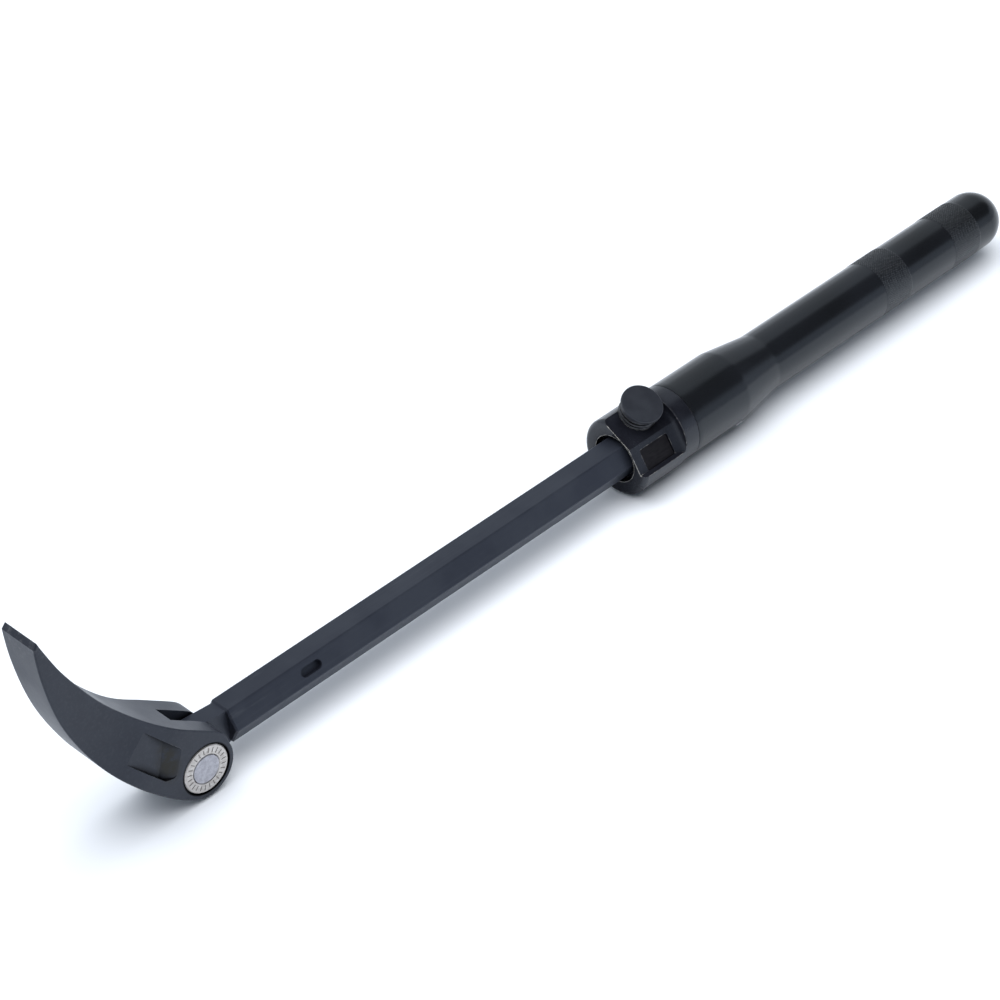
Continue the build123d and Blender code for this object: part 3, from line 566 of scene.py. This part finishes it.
# ------------------------------------------------------------------ springs as wire coils
def coil(name, base, direction, radius, wire, length, pitch, mat, seg=14, per_turn=56):
    """A compression spring with closed ends, its wire's centre line from base to base + length."""
    n = Vector(direction).normalized()
    a = n.orthogonal().normalized()
    b = n.cross(a)
    turns = (length / pitch) + 1.2
    steps = int(turns * per_turn)
    pts = []
    for i in range(steps + 1):
        q = i / steps * turns
        # the first and last 0.6 of a turn lie flat
        lift = min(max(q - 0.6, 0.0), turns - 1.2) * pitch
        flat = wire * 2.02
        if q < 0.6:
            lift = 0.0
        lift = min(lift, length)
        t = 2 * math.pi * q
        pts.append(Vector(base) + n * lift + (a * math.cos(t) + b * math.sin(t)) * radius)
    verts, faces = [], []
    for i, p in enumerate(pts):
        d = (pts[min(i + 1, steps)] - pts[max(i - 1, 0)]).normalized()
        radial = (p - Vector(base)) - n * (p - Vector(base)).dot(n)
        radial.normalize()
        other = d.cross(radial).normalized()
        radial = other.cross(d).normalized()
        for j in range(seg):
            t = 2 * math.pi * j / seg
            verts.append(p + (radial * math.cos(t) + other * math.sin(t)) * wire)
    for i in range(steps):
        for j in range(seg):
            k = (j + 1) % seg
            faces.append((i * seg + j, i * seg + k, (i + 1) * seg + k, (i + 1) * seg + j))
    faces.append(tuple(range(seg))[::-1])
    faces.append(tuple(steps * seg + j for j in range(seg)))
    return add_mesh(name, verts, faces, mat, math.radians(50))


LOCK_DIR = Vector((0, -0.5, math.sqrt(3) / 2))
LOCK_SIDE = Vector((0, math.sqrt(3) / 2, 0.5))
axis_at = Vector((st(250.2), 0, BAR_Z)) + LOCK_SIDE * 0.0082
low, high = 0.01115, 0.01685
lock_coil = coil("lock_spring_coil", axis_at + LOCK_DIR * low, LOCK_DIR, 0.0076, 0.0006, high - low, 0.0021, SPRING)
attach(lock_coil, "handle")
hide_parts("lock_spring")
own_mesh(lock_coil)

i_lo, i_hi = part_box("index_spring")
index_coil = coil(
    "index_spring_coil",
    (PIVOT.x, i_hi.y - 0.0004, PIVOT.z),
    (0, -1, 0),
    0.0044,
    0.0004,
    (i_hi.y - i_lo.y) - 0.0008,
    0.0021,
    SPRING,
)
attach(index_coil, "claw")
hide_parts("index_spring")
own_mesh(index_coil)


# ------------------------------------------------------------------ floor, lights, surroundings
def floor_material():
    m = Mat("pale_floor")
    tone = m.noise(3, 3, 0.5)
    m.set(
        Base_Color=m.mix(m.ramp(tone, 0.3, 0.7), (0.775, 0.81, 0.865), (0.80, 0.835, 0.89)),
        Roughness=m.ramp(tone, 0.3, 0.7, 0.72, 0.80),
        Normal=m.bump(m.noise(700, 2, 0.5), 0.03, 0.0001),
    )
    m.p.inputs["Specular IOR Level"].default_value = 0.25
    return m


bpy.ops.mesh.primitive_plane_add(size=14, location=(0, 0, 0))
floor = bpy.context.active_object
floor.name = "floor"
floor.data.materials.append(floor_material().m)


def area_light(name, at, look, size, power, colour=(1, 1, 1)):
    d = bpy.data.lights.new(name, "AREA")
    d.shape = "RECTANGLE"
    d.size, d.size_y = size
    d.energy = power
    d.color = colour
    o = bpy.data.objects.new(name, d)
    scene.collection.objects.link(o)
    o.location = at
    o.rotation_mode = "QUATERNION"
    o.rotation_quaternion = (Vector(look) - Vector(at)).to_track_quat("-Z", "Y")
    return o


WORLD_DARK = (0.035, 0.037, 0.036)
WORLD_BACK = (0.56, 0.60, 0.64)
WORLD_BAND = (0.86, 0.92, 1.0)
WORLD_NEAR = (0.60, 0.67, 0.78)

# the overhead light only fills: the reflections come from the surroundings below
overhead = area_light("overhead", (-0.1, -0.25, 2.3), (0, 0, 0), (3.4, 3.0), 104, (1.0, 1.0, 1.0))
overhead.visible_glossy = False

world = bpy.data.worlds.new("studio")
scene.world = world
world.use_nodes = True
wt = world.node_tree
wt.nodes.clear()


def w_math(op, a, b=0.0):
    n = wt.nodes.new("ShaderNodeMath")
    n.operation = op
    for value, socket in ((a, n.inputs[0]), (b, n.inputs[1])):
        if isinstance(value, (int, float)):
            socket.default_value = value
        else:
            wt.links.new(value, socket)
    return n.outputs[0]


def w_step(value, lo, hi):
    n = wt.nodes.new("ShaderNodeMapRange")
    n.interpolation_type = "SMOOTHSTEP"
    wt.links.new(value, n.inputs["Value"])
    n.inputs["From Min"].default_value = lo
    n.inputs["From Max"].default_value = hi
    return n.outputs[0]


def w_mix(fac, a, b):
    n = wt.nodes.new("ShaderNodeMix")
    n.data_type = "RGBA"
    wt.links.new(fac, n.inputs["Factor"])
    for value, socket in ((a, n.inputs[6]), (b, n.inputs[7])):
        if isinstance(value, tuple):
            socket.default_value = (*value, 1)
        else:
            wt.links.new(value, socket)
    return n.outputs[2]


w_out = wt.nodes.new("ShaderNodeOutputWorld")
w_bg = wt.nodes.new("ShaderNodeBackground")
w_co = wt.nodes.new("ShaderNodeTexCoord")
w_sep = wt.nodes.new("ShaderNodeSeparateXYZ")
wt.links.new(w_co.outputs["Generated"], w_sep.inputs[0])
w_y, w_z = w_sep.outputs["Y"], w_sep.outputs["Z"]
# a pale wall behind and overhead, a dark ceiling on the near side, a bright band round the horizon
upper = w_mix(w_step(w_y, -0.12, 0.06), WORLD_DARK, WORLD_BACK)
near_low = w_mix(w_step(w_y, -0.30, 0.05), WORLD_NEAR, WORLD_BAND)
whole = w_mix(w_step(w_z, 0.26, 0.44), near_low, upper)
wt.links.new(whole, w_bg.inputs["Color"])
wt.links.new(w_bg.outputs[0], w_out.inputs["Surface"])
w_bg.inputs["Strength"].default_value = 1.0
